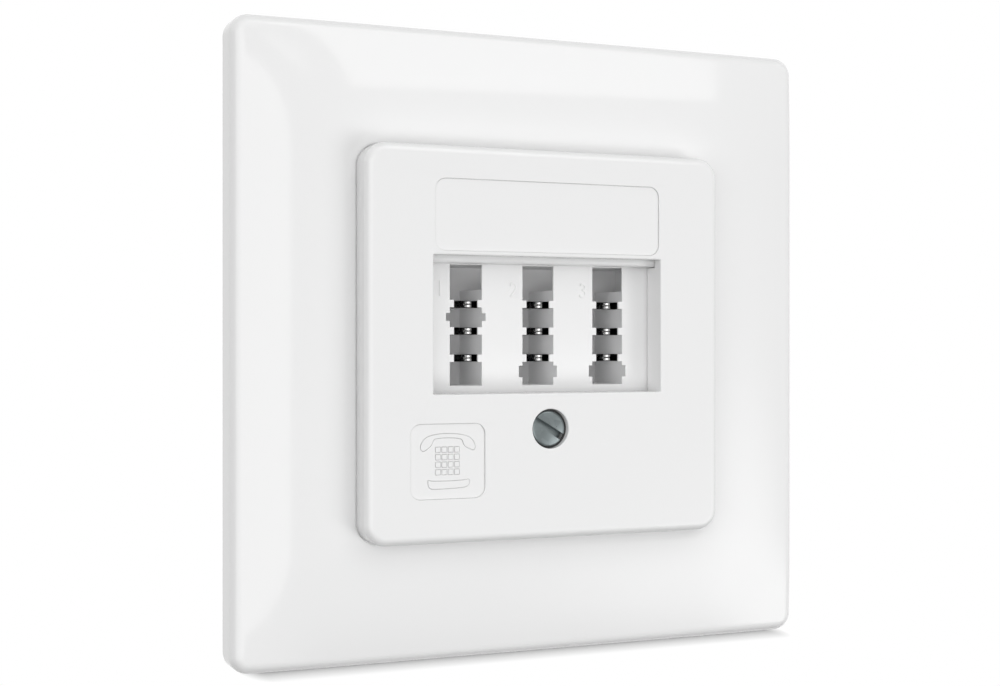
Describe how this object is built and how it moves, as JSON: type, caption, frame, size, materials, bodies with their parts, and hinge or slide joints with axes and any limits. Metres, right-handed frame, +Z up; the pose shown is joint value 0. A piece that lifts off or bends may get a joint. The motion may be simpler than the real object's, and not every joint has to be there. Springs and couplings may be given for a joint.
{
  "type": "telephone wall socket",
  "caption": "Flush-mounted telephone socket: square domed cover frame, centre plate with a window over coded jacks, slotted centre screw, support ring and wired base behind.",
  "frame": {"origin": "middle of the square cover frame in the wall plane, which the frame's rear rim lies on", "axes": "+Z up, +X right as seen from the room, +Y into the wall, so the front faces -Y"},
  "size_m": [0.081, 0.026, 0.081],
  "materials": {
    "frame_plastic": "glossy white moulded plastic",
    "plate_plastic": "satin white moulded plastic",
    "jack_plastic": "satin white moulded plastic",
    "carrier_plastic": "light grey moulded plastic",
    "housing_plastic": "matt off-white moulded plastic",
    "board_laminate": "green coated laminate",
    "screw_zinc": "bright zinc plating",
    "insert_brass": "turned brass",
    "ring_steel": "galvanised sheet steel",
    "terminal_screw_steel": "zinc plated steel",
    "rivet_metal": "plain",
    "spring_metal": "bright nickel silver strip",
    "clamp_brass": "bright brass"
  },
  "bodies": {
    "root": {"cover_frame": "frame_plastic", "centre_plate": "plate_plastic", "centre_screw": "screw_zinc", "centre_insert": "insert_brass", "jack_cover": "jack_plastic", "contact_carrier": "carrier_plastic", "base_housing": "housing_plastic", "circuit_board": "board_laminate", "rear_cover": "housing_plastic", "support_ring": "ring_steel", "terminal_screws": "terminal_screw_steel", "ring_rivets": "rivet_metal", "contact_spring_left_low_a": "spring_metal", "contact_spring_left_low_b": "spring_metal", "contact_spring_left_middle_a": "spring_metal", "contact_spring_left_middle_b": "spring_metal", "contact_spring_left_high_a": "spring_metal", "contact_spring_left_high_b": "spring_metal", "contact_spring_middle_low_a": "spring_metal", "contact_spring_middle_low_b": "spring_metal", "contact_spring_middle_middle_a": "spring_metal", "contact_spring_middle_middle_b": "spring_metal", "contact_spring_middle_high_a": "spring_metal", "contact_spring_middle_high_b": "spring_metal", "contact_spring_right_low_a": "spring_metal", "contact_spring_right_low_b": "spring_metal", "contact_spring_right_middle_a": "spring_metal", "contact_spring_right_middle_b": "spring_metal", "contact_spring_right_high_a": "spring_metal", "contact_spring_right_high_b": "spring_metal", "terminal_clamp_upper_1": "clamp_brass", "terminal_clamp_upper_2": "clamp_brass", "terminal_clamp_upper_3": "clamp_brass", "terminal_clamp_upper_4": "clamp_brass", "terminal_clamp_upper_5": "clamp_brass", "terminal_clamp_upper_6": "clamp_brass", "terminal_clamp_lower_1": "clamp_brass", "terminal_clamp_lower_2": "clamp_brass", "terminal_clamp_lower_3": "clamp_brass", "terminal_clamp_lower_4": "clamp_brass", "terminal_clamp_lower_5": "clamp_brass", "terminal_clamp_lower_6": "clamp_brass"}
  },
  "joints": []
}
